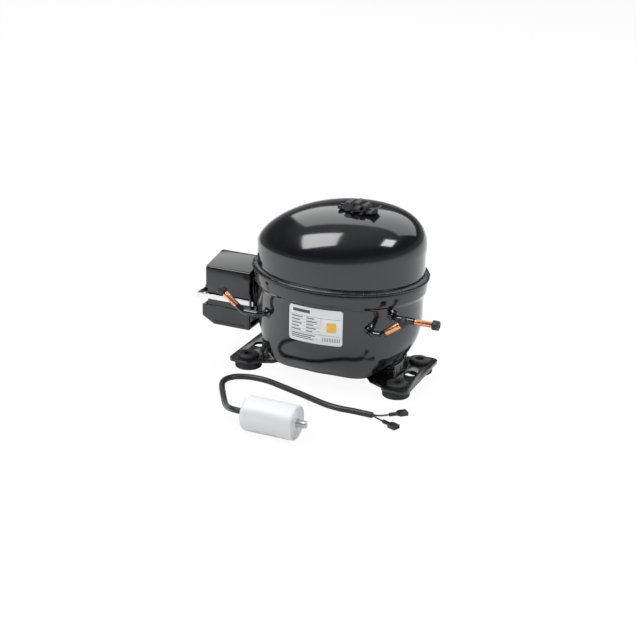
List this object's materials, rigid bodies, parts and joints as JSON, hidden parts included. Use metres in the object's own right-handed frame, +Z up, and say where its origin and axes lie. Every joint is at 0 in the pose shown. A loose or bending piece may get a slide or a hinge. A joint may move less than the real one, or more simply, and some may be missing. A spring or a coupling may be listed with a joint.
{
  "type": "hermetic compressor",
  "caption": "Welded oval compressor shell on rubber feet with start relay box, stub tubes, motor and piston pump inside, and a loose run capacitor.",
  "frame": {"origin": "centre of the four mounting holes, at the underside of the rubber grommets", "axes": "+Z up, +X from the relay box to the process tube, +Y from the stub tubes to the plain back"},
  "size_m": [0.2826, 0.273, 0.1967],
  "materials": {
    "shell_paint": "thick gloss black stoving enamel over deep-drawn steel, slight orange peel",
    "bracket_paint": "gloss black enamel over pressed steel",
    "label_foil": "satin silver foil with plain ruled rows, no lettering",
    "grommet_rubber": "matt black moulded rubber",
    "copper_tube": "drawn copper, the part near the shell under black paint",
    "plug_rubber": "black rubber",
    "clip_plastic": "black nylon",
    "header_steel": "plain steel",
    "terminal_glass": "fused dark green sealing glass",
    "relay_plastic": "black moulded thermoset",
    "ptc_ceramic": "grey semiconducting ceramic",
    "protector_shell": "pressed steel cup on a black base",
    "cover_plastic": "semi-gloss black polypropylene",
    "strap_steel": "bright spring steel strip",
    "can_shell": "matt light grey drawn can",
    "stud_zinc": "zinc plated",
    "lead_rubber": "black flexible sheath and wires",
    "spade_nylon": "black nylon cover over a crimped receptacle",
    "spring_steel": "oil-wet steel wire and pressings",
    "lamination_steel": "stacked electrical steel, blued",
    "magnet_wire": "enamelled copper wire, laced",
    "cast_iron": "as cast, machined on the seats",
    "ground_steel": "ground and honed",
    "rotor_aluminium": "die cast",
    "gasket_fibre": "pressed fibre",
    "muffler_plastic": "natural engineering plastic",
    "motor_wire": "sleeved motor leads in three colours"
  },
  "bodies": {
    "root": {"lower_shell": "shell_paint", "upper_shell": "shell_paint", "seam_weld": "shell_paint", "rating_label": "label_foil", "left_foot": "bracket_paint", "right_foot": "bracket_paint", "rubber_grommets": "grommet_rubber", "suction_tube": "copper_tube", "discharge_tube": "copper_tube", "process_tube": "copper_tube", "top_clip": "clip_plastic", "terminal_header": "header_steel", "terminal_glass": "terminal_glass", "terminal_pins": "header_steel", "terminal_bracket": "bracket_paint", "ground_screw": "header_steel", "start_relay": "relay_plastic", "ptc_pill": "ptc_ceramic", "overload_protector": "protector_shell", "capacitor_can": "can_shell", "capacitor_lid": "can_shell", "capacitor_stud": "stud_zinc", "lead_gland": "lead_rubber", "lead_sheath": "lead_rubber", "lead_wire_a": "lead_rubber", "lead_wire_b": "lead_rubber", "spade_a": "spade_nylon", "spade_b": "spade_nylon", "spring_seats": "spring_steel", "suspension_springs": "spring_steel", "discharge_loop": "copper_tube", "connector_block": "relay_plastic", "motor_leads": "motor_wire"},
    "pump_unit": {"stator_core": "lamination_steel", "stator_windings": "magnet_wire", "stator_bolts": "spring_steel", "cylinder_block": "cast_iron", "valve_plate": "ground_steel", "reed_stop": "spring_steel", "head_gasket": "gasket_fibre", "cylinder_head": "cast_iron", "head_bolts": "spring_steel", "suction_muffler": "muffler_plastic"},
    "crank": {"crankshaft": "cast_iron", "counterweight": "cast_iron", "rotor_core": "lamination_steel", "rotor_cage": "rotor_aluminium", "oil_pickup": "ground_steel"},
    "slider": {"slide_block": "cast_iron"},
    "gallery_plug": {"oil_gallery_plug": "cast_iron"},
    "piston_unit": {"piston": "ground_steel", "yoke_tube": "ground_steel"},
    "suction_flap": {"suction_reed": "spring_steel"},
    "discharge_flap": {"discharge_reed": "spring_steel"},
    "cover": {"relay_cover": "cover_plastic", "cover_strap": "strap_steel"},
    "suction_plug_body": {"suction_plug": "plug_rubber"},
    "discharge_plug_body": {"discharge_plug": "plug_rubber"},
    "process_plug_body": {"process_plug": "plug_rubber"}
  },
  "joints": [
    {"name": "suspension_bounce", "type": "slide", "parent": "root", "child": "pump_unit", "axis": [0, 0, 1], "range_m": [-0.0015, 0.0015], "stiffness_N_per_m": 20000, "springref_m": 0.00198, "deforming": ["suspension_springs", "discharge_loop", "motor_leads"]},
    {"name": "crank_spin", "type": "hinge", "parent": "pump_unit", "child": "crank", "pos_m": [0, 0, 0.06], "axis": [0, 0, 1], "continuous": true},
    {"name": "pin_swivel", "type": "hinge", "parent": "crank", "child": "slider", "pos_m": [0, 0.0095, 0.156], "axis": [0, 0, 1], "continuous": true},
    {"name": "plug_spin", "type": "hinge", "parent": "crank", "child": "gallery_plug", "pos_m": [0, 0.00475, 0.156], "axis": [0, 0, 1], "continuous": true},
    {"name": "piston_stroke", "type": "hinge", "parent": "gallery_plug", "child": "piston_unit", "pos_m": [0, 0, 0.156], "axis": [0, 0, 1], "continuous": true},
    {"name": "suction_reed_flex", "type": "hinge", "parent": "pump_unit", "child": "suction_flap", "pos_m": [0.0523, 0.0055, 0.1465], "axis": [0, 1, 0], "range_deg": [-8, 0], "stiffness_Nm_per_rad": 0.05},
    {"name": "discharge_reed_flex", "type": "hinge", "parent": "pump_unit", "child": "discharge_flap", "pos_m": [0.05525, -0.0055, 0.1465], "axis": [0, 1, 0], "range_deg": [0, 6], "stiffness_Nm_per_rad": 0.05},
    {"name": "cover_slide", "type": "slide", "parent": "root", "child": "cover", "axis": [-1, 0, 0], "range_m": [0, 0.048]},
    {"name": "suction_plug_pull", "type": "slide", "parent": "root", "child": "suction_plug_body", "axis": [0.788, 0, 0.6157], "range_m": [0, 0.04]},
    {"name": "discharge_plug_pull", "type": "slide", "parent": "root", "child": "discharge_plug_body", "axis": [-0.788, 0, 0.6157], "range_m": [0, 0.04]},
    {"name": "process_plug_pull", "type": "slide", "parent": "root", "child": "process_plug_body", "axis": [1, 0, 0], "range_m": [0, 0.04]}
  ],
  "couplings": [
    {"joint": "pin_swivel", "follows": "crank_spin", "ratio": -1},
    {"joint": "plug_spin", "follows": "crank_spin", "ratio": -2},
    {"joint": "piston_stroke", "follows": "crank_spin", "ratio": 1}
  ]
}
